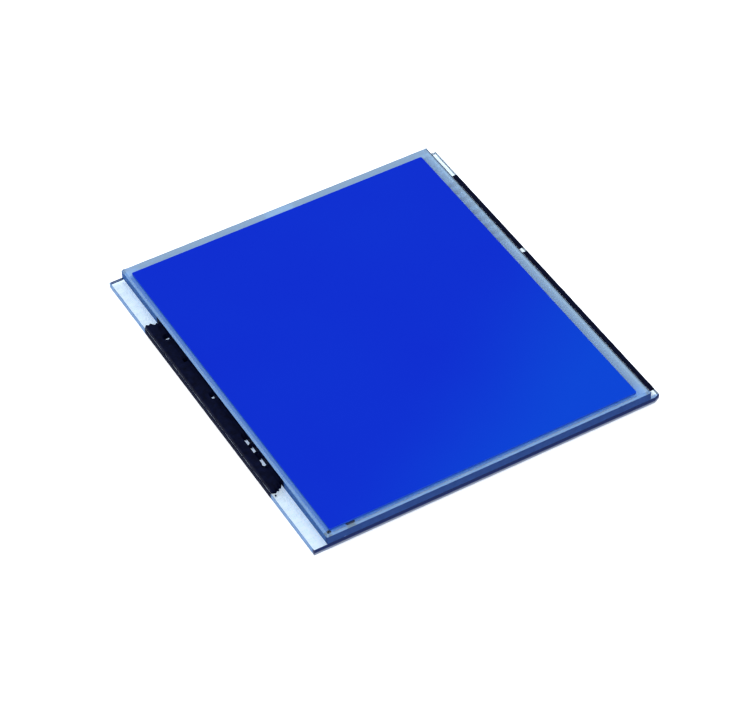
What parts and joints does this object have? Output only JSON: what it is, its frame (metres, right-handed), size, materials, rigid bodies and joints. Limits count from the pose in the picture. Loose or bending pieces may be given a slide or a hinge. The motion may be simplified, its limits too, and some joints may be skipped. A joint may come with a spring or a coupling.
{
  "type": "chip-on-glass liquid crystal display panel",
  "caption": "Flat bare glass display cell with a blue film on top, a narrow contact ledge along one side, and a black coat over the driver chip on the ledge.",
  "frame": {"origin": "on the flat rear face of the reflector film, on which the panel lies, under the middle of the rear glass", "axes": "+Z out of the viewing side, +X along the contact ledge with the viewer's right, -Y towards the contact ledge, +Y towards the back ledge"},
  "size_m": [0.0418, 0.0378, 0.0022],
  "materials": {
    "clear_glass": "polished faces, seamed arrises",
    "blue_film": "smooth, faintly blue-tinted polarising film over the cell",
    "grey_film": "dark neutral polarising film",
    "reflector": "fine-grained silvered back",
    "seal_epoxy": "translucent grey epoxy",
    "plug_resin": "clear light-cured resin",
    "cell_fluid": "clear fluid, blue between the films",
    "clear_conductor": "thin transparent conductor",
    "pad_metal": "sputtered metal",
    "dot_paste": "dark conductive paste",
    "bump_gold": "plated gold, matt",
    "bonding_adhesive": "cured adhesive film with conductive particles",
    "silicon": "ground silicon back",
    "coat_resin": "black resin laid on by hand, half gloss"
  },
  "bodies": {
    "root": {"reflector_film": "reflector", "rear_polariser": "grey_film", "rear_glass": "clear_glass", "column_electrodes": "clear_conductor", "test_pads": "pad_metal", "input_leads": "clear_conductor", "perimeter_seal": "seal_epoxy", "end_seal": "plug_resin", "transfer_dots": "dot_paste", "liquid_crystal": "cell_fluid", "row_electrodes": "clear_conductor", "front_glass": "clear_glass", "front_polariser": "blue_film", "chip_bumps": "bump_gold", "bonding_film": "bonding_adhesive", "driver_chip": "silicon", "chip_coat": "coat_resin", "back_ledge_coat": "coat_resin"}
  },
  "joints": []
}
